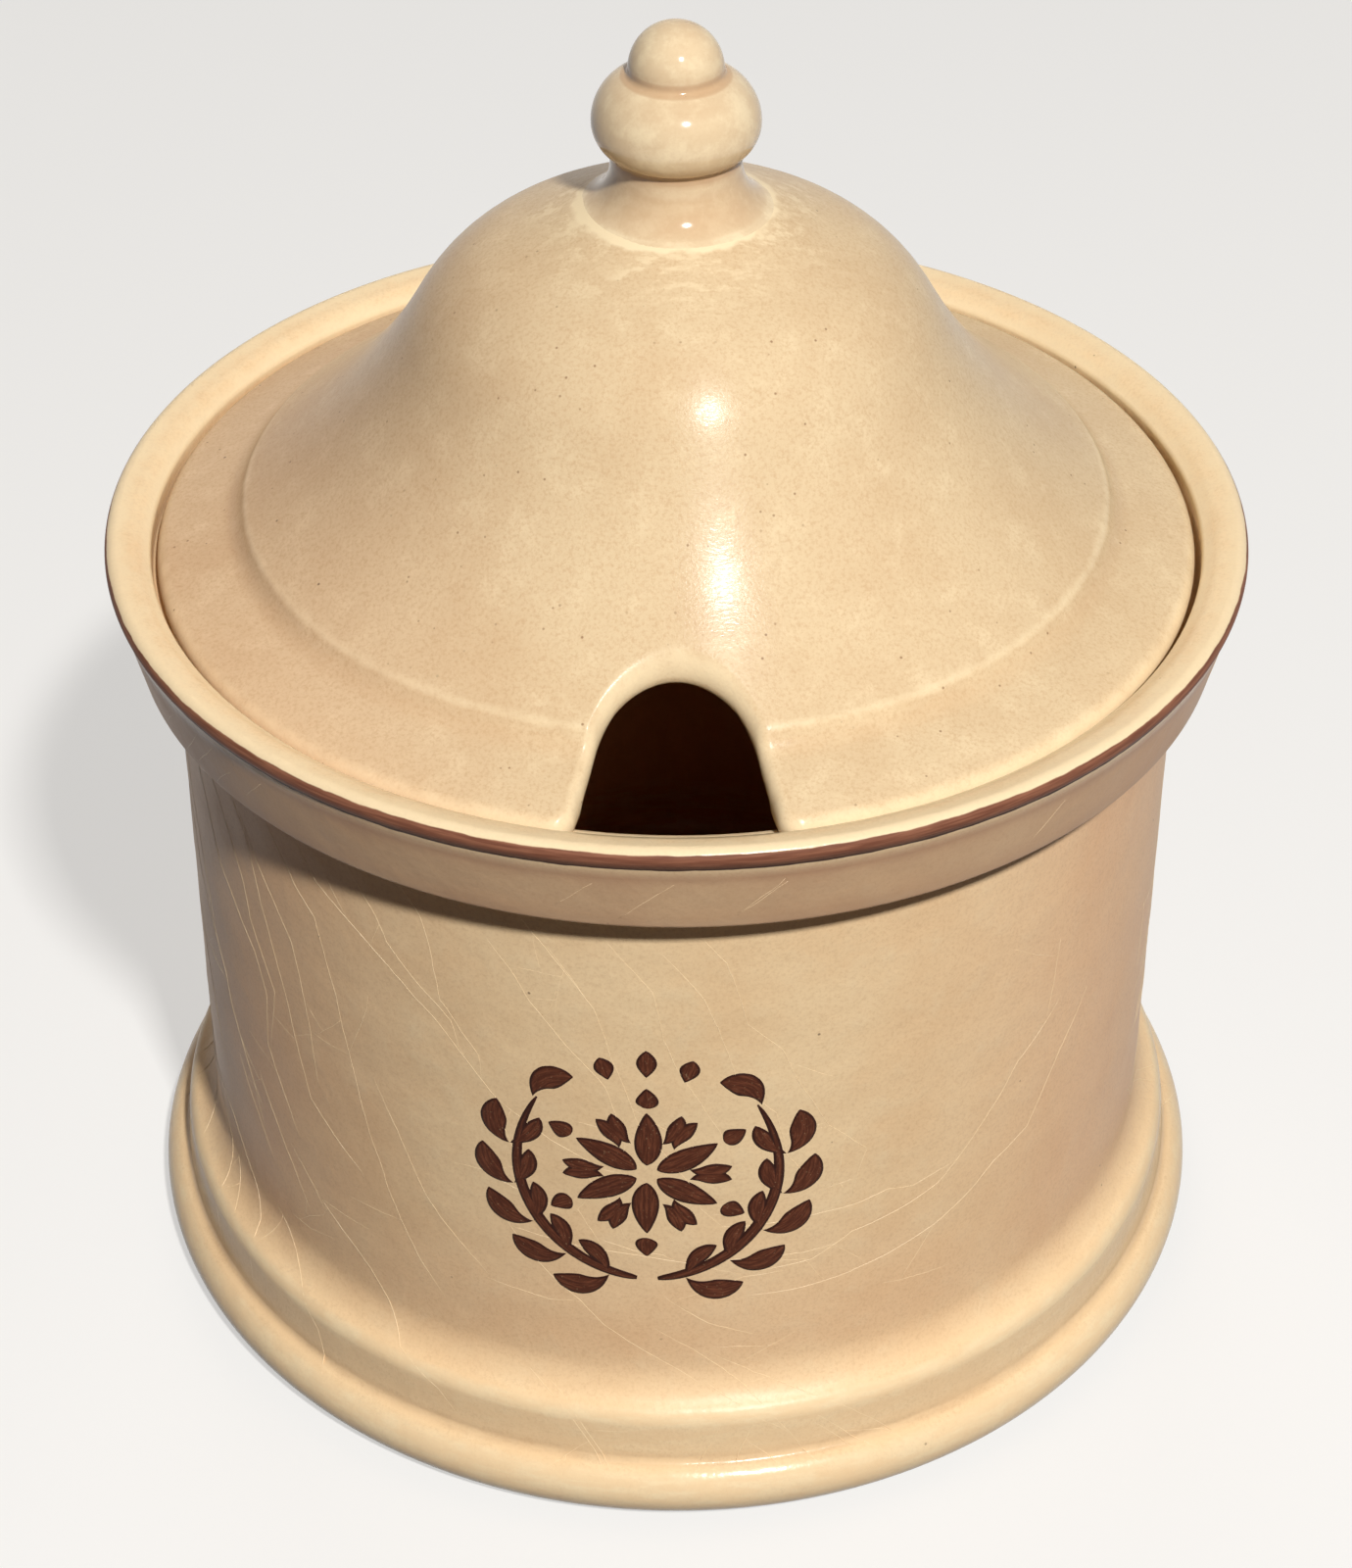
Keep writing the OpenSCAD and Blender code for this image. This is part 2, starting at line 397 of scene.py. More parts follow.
def make_crock():
    """The crock, with where its brown band, inside, bare foot ring and glossier parts lie."""
    outline = crock_outline()
    along = arc_length(outline)
    band_edge = (lip_c[0] + lip_t / 2 * cos(BAND_TURN), lip_c[1] + lip_t / 2 * sin(BAND_TURN))
    band_foot = along[nearest(outline, rim_r - 1, BAND_FOOT_Z)]
    band_top = along[nearest(outline, *band_edge)]
    inside_from = along[nearest(outline, bore_top_r + 3, seat_z)]
    collar_from = along[nearest(outline, collar_r - 1, collar_z)]
    up_collar = np.clip(2 * (along - collar_from) / (band_foot - collar_from) - 1, -1, 1)
    z = outline[:, 1]
    attributes = {
        "edge": convexity(outline, 1.6),
        "band": np.minimum(along - band_foot, band_top - along),
        "band_low": along - band_foot,
        "inside": np.clip((along - inside_from) / 4, 0, 1),
        "bare": np.clip((0.5 - z) / 0.4, 0, 1),
        "wall": np.clip((z - shoulder_z) / 12, 0, 1) * (along < band_foot),
        # Painted shade on the collar: weighted more toward its top and its lower edge
        "collar": np.where((along > collar_from) & (along < band_foot), 0.6 + 0.4 * up_collar ** 2, 0),
        "shine": np.clip((shoulder_top_z - z) / 8, 0, 1) + np.clip((z - crock_h + 8) / 4, 0, 1),
    }
    return revolve("crock_ware", outline, TURN_STEPS, attributes)


def meeting_point(a, reach_a, b, reach_b):
    """The point to the right of the line from a to b that lies reach_a from a and reach_b from b."""
    a = np.array(a, float)
    b = np.array(b, float)
    apart = np.linalg.norm(b - a)
    way = (b - a) / apart
    along = (reach_a ** 2 - reach_b ** 2 + apart ** 2) / (2 * apart)
    aside = math.sqrt(reach_a ** 2 - along ** 2)
    return a + way * along + np.array((way[1], -way[0])) * aside


def make_knob():
    """The knob: a base that spreads onto the crown, a neck, a ring and a ball."""
    neck_turn = 90 - crown_slope
    neck_round = (knob_base_r - neck_r) / (1 - cos(neck_turn))
    neck_c = (neck_r + neck_round, neck_round * sin(neck_turn))
    low_turn = math.acos((neck_r - knob_r + ring_low_round) / ring_low_round)
    ring_z = neck_c[1] + neck_l + ring_low_round * math.sin(low_turn)
    high_turn = math.acos((ball_r - crease - knob_r + ring_top_round) / ring_top_round)
    ball_turn = math.acos((ball_r - crease) / ball_r)
    ball_z = ring_z + ring_top_round * math.sin(high_turn) + ball_r * math.sin(ball_turn)
    ring_c = (knob_r - ring_top_round, ring_z)
    crease_c = meeting_point(ring_c, ring_top_round + crease_round, (0, ball_z), ball_r + crease_round)
    sunk = 1.2
    ring_end = math.degrees(math.atan2(crease_c[1] - ring_z, crease_c[0] - ring_c[0]))
    ball_start = math.degrees(math.atan2(crease_c[1] - ball_z, crease_c[0]))
    corners = [
        (0, -1.0),
        (knob_base_r + sunk, -sunk * tan(crown_slope) - 0.15),
        *arc(neck_c, neck_round, 180 + neck_turn, 180),
        *arc((knob_r - ring_low_round, ring_z), ring_low_round, -math.degrees(low_turn), 0),
        *arc(ring_c, ring_top_round, 0, ring_end),
        *arc(crease_c, crease_round, 180 + ring_end, 180 + ball_start),
        *arc((0, ball_z), ball_r, ball_start, 90),
    ]
    outline = divided(rounded(corners), 0.8)
    outline[-1, 0] = 0
    edge = convexity(outline, 1.2)
    outline[:, 1] += crown_z
    return revolve("knob_ware", outline, KNOB_STEPS, {"edge": edge}, stray=1.5)


def lid_outlines():
    """The lid's outside and inside as outlines from the axis outwards, before its edges are rounded."""
    under_knob = 2.0
    top_z = crown_z + under_knob * tan(crown_slope)
    outside = [
        (0, top_z),
        (knob_base_r - under_knob, top_z),
        *arc(crown_c, crown_r, 90 - crown_slope, 90 - turn_slope),
        *arc(flare_c, flare_r, 270 - turn_slope, 270 - flare_slope - 2),
        (step_r, step_z, 0.8 * step_h),
        (step_r + step_run, brim_top_z, 2 * step_h),
        (lid_r, edge_z),
    ]
    under_z = seat_z + 0.3 + (lid_r - lid_t / 2 - land_in_r) * tan(brim_slope)
    inside = [
        (0, hollow_z),
        (knob_base_r, hollow_z, 5),
        *arc(crown_c, crown_r - lid_t, 90 - crown_slope, 90 - turn_slope),
        *arc(flare_c, flare_r + lid_t, 270 - turn_slope, 270 - flare_slope - 2),
        (step_r + step_run - lid_t * sin(brim_slope), brim_top_z - lid_t * cos(brim_slope), 2),
        (land_in_r - 1.6, under_z, 1),
        (land_in_r, seat_z, 0.8),
        (lid_r, seat_z),
    ]
    return divided(rounded(outside), 0.5), divided(rounded(inside), 0.5)


def notch_edge():
    """The lid's edge in plan, anticlockwise: the outer circle, then the notch."""
    normal = np.array((cos(notch_spread), sin(notch_spread)))
    way = np.array((sin(notch_spread), -cos(notch_spread)))
    arch_c = np.array((0, notch_y))
    offset = normal @ arch_c + notch_r
    across = offset + notch_corner_r
    reach = lid_r - notch_corner_r
    corner_c = normal * across + way * math.sqrt(reach ** 2 - across ** 2)
    rim_angle = math.degrees(math.atan2(corner_c[1], corner_c[0]))
    circle = arc((0, 0), lid_r, rim_angle, 180 - rim_angle)
    left_c = (-corner_c[0], corner_c[1])
    left = arc(left_c, notch_corner_r, 180 - rim_angle, 360 - notch_spread)
    arch = arc(arch_c, notch_r, 180 - notch_spread, notch_spread)
    right = arc(corner_c, notch_corner_r, 180 + notch_spread, 360 + rim_angle)
    return np.array(circle + left + arch + right)


def spaced(loop, spacing_at):
    """The closed loop drawn again with points about spacing_at(point) apart."""
    closed = np.vstack((loop, loop[:1]))
    along = arc_length(closed)
    places = [0.0]
    while places[-1] < along[-1]:
        here = [np.interp(places[-1], along, closed[:, i]) for i in (0, 1)]
        places.append(places[-1] + spacing_at(here))
    places = np.array(places[:-1])
    places *= along[-1] / (places[-1] + spacing_at(closed[0]))
    return np.column_stack([np.interp(places, along, closed[:, i]) for i in (0, 1)])


def lid_edge():
    """The lid's edge in plan, with close points at the notch, and the way inwards from each point."""
    loop = spaced(notch_edge(), lambda p: 0.45 if p[1] < 0 and abs(p[0]) < 30 else 1.6)
    return loop, leftward(np.roll(loop, -1, axis=0) - np.roll(loop, 1, axis=0))


def lid_middle(loop):
    """Points in plan inside the rounded edge, on rings closer by the knob and at the step."""
    rings = np.concatenate((
        np.arange(2.0, 13.0, 1.7),
        np.arange(13.2, 19.0, 0.4),
        np.arange(19.5, 76.0, 1.7),
        np.arange(76.4, 82.6, 0.32),
        np.arange(83.4, lid_r - edge_reach - 0.4, 1.3),
    ))
    middle = [(0.0, 0.0)]
    for radius in rings:
        count = int(np.clip(2 * math.pi * radius / 1.4, 12, 300))
        turn = 2 * math.pi * np.arange(count) / count
        middle += list(zip(radius * np.sin(turn), -radius * np.cos(turn)))
    middle = np.array(middle)
    round_notch = np.hypot(middle[:, 0], middle[:, 1] + lid_r) < 60
    there = middle[round_notch]
    gaps = np.linalg.norm(there[:, None, :] - loop[None, :, :], axis=2)
    keep = np.ones(len(middle), bool)
    keep[round_notch] = inside_loop(there, loop) & (gaps.min(1) > edge_reach + 0.35)
    return middle[keep]


def filled(loop, middle):
    """Triangles in plan over a loop and the points inside it.

    Returns the corners' spots, the corner at each point of the loop, and the triangles.
    """
    count = len(loop)
    cut = [Vector(p) for p in np.vstack((loop, middle))]
    sides = [(i, (i + 1) % count) for i in range(count)]
    flat, _, triangles, source, _, _ = geometry.delaunay_2d_cdt(cut, sides, [], 1, 1e-6)
    at_loop = np.zeros(count, int)
    for i, origins in enumerate(source):
        if origins and origins[0] < count:
            at_loop[origins[0]] = i
    return np.array([p[:] for p in flat]), at_loop, triangles


def quarter_round(depth, radius):
    """How far a rounded edge has risen at a depth in from it, from 0 to 1."""
    return np.sqrt(1 - (1 - np.clip(depth / radius, 0, 1)) ** 2)


class LidShell:
    """The points of the lid, and how pale its edges are."""

    def __init__(self):
        self.outside, self.inside = lid_outlines()
        self.points = []
        self.edges = []

    def heights(self, plan, rise=1.0, fall=1.0):
        """Heights of top and underside, drawn in to the middle where rise and fall are under 1."""
        radius = np.linalg.norm(plan, axis=1)
        high = np.interp(radius, self.outside[:, 0], self.outside[:, 1])
        low = np.interp(radius, self.inside[:, 0], self.inside[:, 1])
        half = (high + low) / 2
        return half + (high - half) * rise, half + (low - half) * fall

    def add(self, plan, z, edge):
        """Adds points and returns the number of the first."""
        start = sum(len(p) for p in self.points)
        self.points.append(np.column_stack((plan, z)))
        self.edges.append(edge)
        return start


def make_lid():
    """The lid: an ogee shell, a flat land below its brim, and a round edge along rim and notch."""
    shell = LidShell()
    loop, inward = lid_edge()
    layers = edge_reach * (1 - np.cos(np.linspace(0, math.pi / 2, EDGE_LAYERS)))
    in_notch = np.clip((lid_r - 0.3 - np.linalg.norm(loop, axis=1)) / 3, 0, 1)
    top_round = brim_round - 0.3 * in_notch
    row = np.arange(len(loop))
    top_rows = []
    low_rows = []
    for d in layers[:-1]:
        ring = loop + inward * d
        high, low = shell.heights(ring, quarter_round(d, top_round), quarter_round(d, under_round))
        pale = np.full(len(loop), 0.8 * math.exp(-((d / 2.0) ** 2)))
        top_rows.append(shell.add(ring, high, pale) + row)
        low_rows.append(shell.add(ring, low, pale * 0.5) + row if d > 0 else row)
    spots, at_loop, triangles = filled(loop + inward * layers[-1], lid_middle(loop))
    high, low = shell.heights(spots)
    turn = convexity(shell.outside[::-1], 1.3)[::-1]
    pale = np.interp(np.linalg.norm(spots, axis=1), shell.outside[:, 0], turn)
    top = shell.add(spots, high, pale)
    under = shell.add(spots, low, np.zeros(len(spots)))
    top_rows.append(top + at_loop)
    low_rows.append(under + at_loop)
    faces = sleeve(top_rows) + sleeve(low_rows[::-1])
    for triangle in triangles:
        faces.append([top + i for i in triangle])
        faces.append([under + i for i in reversed(triangle)])
    points = np.vstack(shell.points)
    attributes = {"edge": np.concatenate(shell.edges), "crown": np.hypot(points[:, 0], points[:, 1])}
    return mesh_object("lid_ware", points, faces, attributes)


def inside_loop(points, loop):
    """Which points lie inside a closed loop."""
    a = loop
    b = np.roll(loop, -1, axis=0)
    x = points[:, :1]
    y = points[:, 1:]
    straddle = (a[:, 1] > y) != (b[:, 1] > y)
    rise = np.where(np.abs(b[:, 1] - a[:, 1]) < 1e-12, 1e-12, b[:, 1] - a[:, 1])
    cross_x = a[:, 0] + (y - a[:, 1]) / rise * (b[:, 0] - a[:, 0])
    return (straddle & (x < cross_x)).sum(1) % 2 == 1


def wall_radius(z):
    """Outside radius of the plain wall at a height."""
    share = (z - shoulder_top_z) / (collar_z - shoulder_top_z)
    return wall_foot_r + (wall_top_r - wall_foot_r) * share


def bezier(points, t):
    """A curve of three or four control points at the places t."""
    points = np.array(points, float)
    n = len(points) - 1
    weights = [math.comb(n, i) * t ** i * (1 - t) ** (n - i) for i in range(n + 1)]
    return np.array(weights).T @ points


class Ornament:
    """Brush strokes on the wall, drawn in millimetres across and up from the ornament's middle."""

    def __init__(self):
        self.points = []
        self.faces = []
        self.rim = []
        self.along = []
        self.across = []

    def stroke(self, points, width, belly=0.45, ends=0.75, steps=22):
        """One brush stroke along a curve: widest at belly, its ends drawn out by a larger ends."""
        t = np.linspace(0.004, 0.996, steps)
        spine = bezier(points, t)
        side = leftward(np.gradient(spine, axis=0))
        power = math.log(0.5) / math.log(belly)
        half = width / 2 * np.sin(math.pi * t ** power) ** ends
        length = arc_length(spine)
        sweep = np.linspace(-1, 1, 9)
        start = len(self.points)
        for i in range(steps):
            lift = paint_t * min(1, half[i] / 0.5)
            for s in sweep:
                self.add(spine[i] + side[i] * half[i] * s, lift * (1 - s ** 4) - 0.02)
                self.rim.append(half[i] * (1 - abs(s)))
                self.along.append(length[i] + 7.3 * start)
                self.across.append(half[i] * s)
            for s in (1, -1):
                self.add(spine[i] + side[i] * half[i] * s, -0.3)
                self.rim.append(0)
                self.along.append(length[i])
                self.across.append(half[i] * s)
        self.faces += tube(start, steps, len(sweep) + 2)

    def add(self, spot, lift):
        z = ornament_z + spot[1]
        turn = (ornament_x + spot[0]) / wall_radius(z)
        angle = turn - math.pi / 2
        radius = wall_radius(z) + wobble(angle, z) + lift
        self.points.append((radius * math.cos(angle), radius * math.sin(angle), z))


def turned(points, degrees):
    """Points turned about the ornament's middle."""
    across = np.array((cos(degrees), sin(degrees)))
    up = np.array((-sin(degrees), cos(degrees)))
    return [tuple(x * across + y * up) for x, y in points]


def make_ornament():
    """A frost star of bold drops inside two leafy sprigs, with three drops over it."""
    paint = Ornament()
    for k in range(6):
        spin = 60 * k
        paint.stroke(turned([(0, 2.1), (0.6, 7.6), (0, 14.6)], spin), 5.2, belly=0.45)
        paint.stroke(turned([(0, 15.7), (0.3, 17.4), (0, 20.3)], spin), 4.2, belly=0.4)
        for side in (-1, 1):
            petal = [(side * 2.7, 7.2), (side * 5.3, 8.8), (side * 6.2, 14)]
            paint.stroke(turned(petal, spin), 3.5, belly=0.62)
    for side in (-1, 0, 1):
        lean = -17 * side
        paint.stroke(turned([(0, 22.8), (0.2, 25), (0, 29 - abs(side))], lean), 3.8, belly=0.6)
    for side in (-1, 1):
        sprig(paint, side)
    attributes = {"rim": paint.rim, "along": paint.along, "across": paint.across}
    return mesh_object("front_ornament", paint.points, paint.faces, attributes)


def sprig(paint, side):
    """One leafy sprig that bends up round the star, with leaves in pairs and a rounded tip."""
    reach = 26.5
    tall = 0.98
    wide = 0.93

    def spot(degrees, radius=reach):
        return (side * wide * radius * cos(degrees), tall * radius * sin(degrees))

    paint.stroke([spot(-86), spot(-50, 31), spot(-8, 33), spot(38)], 2.6, belly=0.35, ends=0.4, steps=40)
    for k, degrees in enumerate((-74, -54, -34, -14, 7)):
        root = spot(degrees, reach + 0.6)
        long = 11 - 0.6 * k
        out = spot(degrees + 18, reach + long * 0.66)
        inn = spot(degrees + 21, reach - long * 0.36)
        paint.stroke([root, spot(degrees + 4, reach + long * 0.66), out], 5.2, belly=0.62)
        paint.stroke([root, spot(degrees + 8, reach - long * 0.42), inn], 3.6, belly=0.6)
    paint.stroke([spot(36, reach + 0.5), spot(46, reach + 4), spot(58, reach - 0.5)], 5.4, belly=0.62)


class Cracks:
    """Cracks in the crock's glaze, grown one after another; each stops where it meets another.

    A place is (a, s): millimetres round the wall to the right of the front, and up from the bead.
    """

    def __init__(self):
        outline = crock_outline()
        first = int(np.argmax(outline[:, 0]))
        last = nearest(outline, rim_r - 1, BAND_FOOT_Z)
        self.skin = outline[first:last]
        self.up = arc_length(self.skin)
        self.normal = -leftward(np.gradient(self.skin, axis=0))
        self.top = self.level(collar_z - 4)
        self.middle = self.level(80)
        self.low = self.level(34)
        self.chance = random.Random(11)
        self.starts = np.zeros((0, 2))
        self.ends = np.zeros((0, 2))
        self.paths = []
        self.points = []
        self.faces = []

    def level(self, z):
        """The distance up the outside of the wall at a height."""
        wall = np.abs(self.skin[:, 0] - wall_radius(self.skin[:, 1])) < 0.2
        return float(np.interp(z, self.skin[wall, 1], self.up[wall]))

    def anywhere(self, low, high):
        """A place all round the wall, between two distances up it."""
        return (self.chance.uniform(-HALF_ROUND, HALF_ROUND), self.chance.uniform(low, high))

    def falling(self, a, s):
        """The way of a long crack: down and a little right, leaning more by the collar and the foot."""
        lean = 25 * math.exp(-((self.top - s) / 34) ** 2) + 34 * math.exp(-((s - self.low) / 26) ** 2)
        return -90 + 12 + lean

    def sweeping(self, a, s):
        """The way of a sweep: level at first, then more and more upwards to the right."""
        return np.clip(4 + 0.75 * (a - 20), -6, 68)

    def meeting(self, p, q):
        """Where the step from p to q first meets an earlier crack, or None."""
        if not len(self.starts):
            return None
        step = q - p
        other = self.ends - self.starts
        apart = self.starts - p
        base = step[0] * other[:, 1] - step[1] * other[:, 0]
        base = np.where(np.abs(base) < 1e-9, 1e-9, base)
        mine = (apart[:, 0] * other[:, 1] - apart[:, 1] * other[:, 0]) / base
        theirs = (apart[:, 0] * step[1] - apart[:, 1] * step[0]) / base
        met = mine[(mine > 1e-6) & (mine <= 1) & (theirs >= 0) & (theirs <= 1)]
        return p + step * met.min() if len(met) else None

    def grow(self, start, length, heading, sway=2.2, width=CRACK_W):
        """One crack from start: heading(a, s) is its direction in degrees from right, anticlockwise.

        It runs straight with a little sway, and kinks now and then.
        """
        path = [np.array(start, float)]
        bend = 0.0
        run = 0.0
        next_kink = self.chance.uniform(3, 14)
        while run < length:
            if run > next_kink:
                bend = self.chance.gauss(0, KINK)
                next_kink = run + self.chance.uniform(4, 18)
            way = math.radians(heading(*path[-1]) + bend + self.chance.gauss(0, sway))
            ahead = path[-1] + CRACK_STEP * np.array((math.cos(way), math.sin(way)))
            if not 0.5 < ahead[1] < self.up[-1] - 0.5:
                break
            met = self.meeting(path[-1], ahead) if len(path) > 1 else None
            path.append(ahead if met is None else met)
            if met is not None:
                break
            run += CRACK_STEP
        if len(path) < 4:
            return
        path = np.array(path)
        self.starts = np.vstack((self.starts, path[:-1]))
        self.ends = np.vstack((self.ends, path[1:]))
        self.paths.append(path)
        self.ridge(path, width)

    def branch(self, length, turns):
        """One crack that leaves an earlier one at any place, turned from its way by one of turns."""
        path = self.chance.choice(self.paths)
        i = self.chance.randrange(1, len(path) - 1)
        step = path[i + 1] - path[i]
        way = math.degrees(math.atan2(step[1], step[0])) + self.chance.choice(turns)
        self.grow(path[i], length, lambda a, s: way)

    def spot(self, place, lift):
        """A point in space, lift above the glaze at a place."""
        a, s = place
        radius, z = (np.interp(s, self.up, self.skin[:, i]) for i in (0, 1))
        out, rise = (np.interp(s, self.up, self.normal[:, i]) for i in (0, 1))
        angle = a / wall_top_r - math.pi / 2
        radius += wobble(angle, z) + lift * out
        return (radius * math.cos(angle), radius * math.sin(angle), z + lift * rise)

    def ridge(self, path, width):
        """A fine ridge along a path, drawn out at both ends."""
        along = arc_length(path)
        side = leftward(np.gradient(path, axis=0))
        near_end = np.minimum(along, along[-1] - along)
        half = width / 2 * np.clip(near_end / 8, 0.15, 1) ** 0.5
        start = len(self.points)
        for place, across, w in zip(path, side, half):
            self.points.append(self.spot(place + across * w, -0.01))
            self.points.append(self.spot(place, CRACK_LIFT * w * 2 / CRACK_W))
            self.points.append(self.spot(place - across * w, -0.01))
            self.points.append(self.spot(place, -0.2))
        self.faces += tube(start, len(path), 4)


def long_cracks(cracks):
    """Sweeps on the right, and long cracks that fall to the right from the collar."""
    chance = cracks.chance
    for start in (48, 54, 66):
        place = (chance.uniform(6, 20), cracks.level(start))
        cracks.grow(place, chance.uniform(75, 105), cracks.sweeping, width=0.12)
    a = -HALF_ROUND
    while a < HALF_ROUND:
        bare = 22 < a < QUIET_END or chance.random() < 0.12
        if not bare:
            place = (a, cracks.top - chance.uniform(0, 9))
            cracks.grow(place, chance.uniform(55, 150), cracks.falling)
        a += chance.uniform(5, 11)


def short_cracks(cracks):
    """Steep and level cracks between the long ones, branches, and a few up the collar."""
    chance = cracks.chance
    for _ in range(60):
        place = cracks.anywhere(cracks.low - 22, cracks.middle + 14)
        if not 40 < place[0] < QUIET_END:
            cracks.grow(place, chance.uniform(20, 60), lambda a, s: cracks.falling(a, s) + 8)
    for _ in range(90):
        place = cracks.anywhere(cracks.low, cracks.middle + 12)
        lift = chance.uniform(-14, 8)
        if not 45 < place[0] < QUIET_END:
            cracks.grow(place, chance.uniform(10, 44), lambda a, s: lift)
    for _ in range(260):
        cracks.branch(chance.uniform(6, 26), (-75, -50, 40, 65))
    collar = cracks.up[-1] - 9
    for _ in range(26):
        place = cracks.anywhere(collar - 4, collar + 2)
        cracks.grow(place, chance.uniform(8, 16), lambda a, s: 48)


def make_cracks():
    """The crock's cracks, as fine ridges in one mesh."""
    cracks = Cracks()
    long_cracks(cracks)
    short_cracks(cracks)
    return mesh_object("crazing", cracks.points, cracks.faces, {})


class Nodes:
    """Short calls for the nodes of one tree."""

    def __init__(self, tree):
        self.tree = tree

    def node(self, kind, inputs=None, **settings):
        """A new node with its settings, and its inputs as values or as the sockets that feed them."""
        made = self.tree.nodes.new(kind)
        for key, value in settings.items():
            setattr(made, key, value)
        for key, value in (inputs or {}).items():
            self.feed(made.inputs[key], value)
        return made

    def feed(self, socket, value):
        """Links a socket to the one that feeds it, or sets its value; a colour has three numbers."""
        if isinstance(value, bpy.types.NodeSocket):
            self.tree.links.new(value, socket)
        elif socket.type == "RGBA":
            socket.default_value = (*value, 1)
        else:
            socket.default_value = value

    def math(self, operation, a, b, c=0.0):
        return self.node("ShaderNodeMath", {0: a, 1: b, 2: c}, operation=operation).outputs["Value"]

    def seen(self):
        """1 for rays from the camera and those that are mirrored or pass through glass, or else 0."""
        ray = self.node("ShaderNodeLightPath").outputs
        direct = self.math("MAXIMUM", ray["Is Camera Ray"], ray["Is Glossy Ray"])
        return self.math("MAXIMUM", direct, ray["Is Transmission Ray"])


class Graph(Nodes):
    """Short calls for the nodes of one material."""

    def __init__(self, name):
        self.material = bpy.data.materials.new(name)
        self.material.use_nodes = True
        super().__init__(self.material.node_tree)
        self.shader = self.tree.nodes["Principled BSDF"]
        self.place = self.node("ShaderNodeTexCoord").outputs["Object"]
        split = self.node("ShaderNodeSeparateXYZ", {"Vector": self.place}).outputs
        self.x = split["X"]
        self.y = split["Y"]
        self.z = split["Z"]

    def attribute(self, name):
        return self.node("ShaderNodeAttribute", attribute_name=name).outputs["Fac"]

    def angle(self):
        """The angle round Z from the front, in radians."""
        return self.math("ARCTAN2", self.x, self.product(self.y, -1))

    def joined(self, x, y, z=0.0):
        """One vector from three numbers."""
        return self.node("ShaderNodeCombineXYZ", {"X": x, "Y": y, "Z": z}).outputs["Vector"]

    def stretched(self, scale, vector=None):
        """A place, or a vector, with its three numbers scaled."""
        inputs = {"Vector": self.place if vector is None else vector, "Scale": scale}
        return self.node("ShaderNodeMapping", inputs).outputs["Vector"]

    def noise(self, size_mm, detail=2.0, rough=0.5, vector=None):
        """Noise about 0.5 whose lumps are about size_mm across."""
        inputs = {
            "Vector": self.place if vector is None else vector,
            "Scale": 1 / (size_mm * MM),
            "Detail": detail,
            "Roughness": rough,
        }
        return self.node("ShaderNodeTexNoise", inputs).outputs["Fac"]

    def dots(self, size_mm, rare, outer, inner):
        """Soft dots in cells about size_mm across, in fewer of them where rare is nearer 1."""
        inputs = {"Vector": self.place, "Scale": 1 / (size_mm * MM)}
        cells = self.node("ShaderNodeTexVoronoi", inputs).outputs
        chosen = self.math("GREATER_THAN", cells["Color"], rare)
        return self.product(self.ease(cells["Distance"], outer, inner), chosen)

    def product(self, *values):
        """The product of two or more values."""
        result = values[0]
        for value in values[1:]:
            result = self.math("MULTIPLY", result, value)
        return result

    def stray(self, amount, size_mm, detail=2.0):
        """Noise about zero, amount from its lowest to its highest."""
        return self.math("MULTIPLY_ADD", self.noise(size_mm, detail=detail), amount, -amount / 2)

    def ease(self, value, low, high, bottom=0.0, top=1.0):
        """A smooth step from bottom at low to top at high."""
        inputs = {"Value": value, "From Min": low, "From Max": high, "To Min": bottom, "To Max": top}
        made = self.node("ShaderNodeMapRange", inputs, interpolation_type="SMOOTHSTEP")
        return made.outputs["Result"]

    def mix(self, amount, a, b, blend="MIX"):
        """Two colours mixed; the node's colour sockets are 6 and 7, and 2 on its way out."""
        made = self.node("ShaderNodeMix", {0: amount, 6: a, 7: b}, data_type="RGBA", blend_type=blend)
        return made.outputs[2]

    def bump(self, height, depth_mm, normal=None):
        """A normal bent by a height, over another normal if there is one."""
        inputs = {"Strength": 1.0, "Distance": depth_mm * MM, "Height": height}
        if normal is not None:
            inputs["Normal"] = normal
        return self.node("ShaderNodeBump", inputs).outputs["Normal"]

    def shade(self, **values):
        """Feeds or sets the shader's own sockets and returns the material."""
        for label, value in values.items():
            name = label.replace("_", " ").title().replace("Ior", "IOR")
            self.feed(self.shader.inputs[name], value)
        return self.material


def mottled_glaze(graph, light, dark, sandy, palest=0.8):
    """The glaze's colour: clouds, a sandy grain, pale edges, pooled hollows and a few iron specks."""
    clouds = graph.noise(30, detail=3, rough=0.6)
    patches = graph.noise(7, detail=4, rough=0.65)
    grain = graph.noise(0.7, detail=3, rough=0.75)
    colour = graph.mix(graph.ease(clouds, 0.30, 0.62), dark, light)
    colour = graph.mix(graph.ease(patches, 0.48, palest, 0, 0.36), colour, PALE)
    colour = graph.mix(graph.ease(grain, 0.28, 0.58, sandy, 0), colour, POOLED)
    edge = graph.attribute("edge")
    worn = graph.math("ADD", edge, graph.stray(0.9, 4, detail=4))
    colour = graph.mix(graph.ease(worn, 0.15, 0.9, 0, 0.65), colour, PALE)
    colour = graph.mix(graph.ease(edge, -0.15, -0.95, 0, 0.35), colour, POOLED)
    specks = graph.dots(5.0, 0.78, 0.07, 0.03)
    here = graph.ease(graph.noise(30), 0.4, 0.55)
    return graph.mix(graph.product(specks, here, 0.75), colour, SPECK)


def pitted(graph, colour):
    """Tiny brown pits, close together in some places and rare in others."""
    pits = graph.dots(2.4, 0.66, 0.13, 0.06)
    here = graph.ease(graph.noise(24), 0.40, 0.58)
    return graph.mix(graph.product(pits, here, 0.8), colour, PIT)


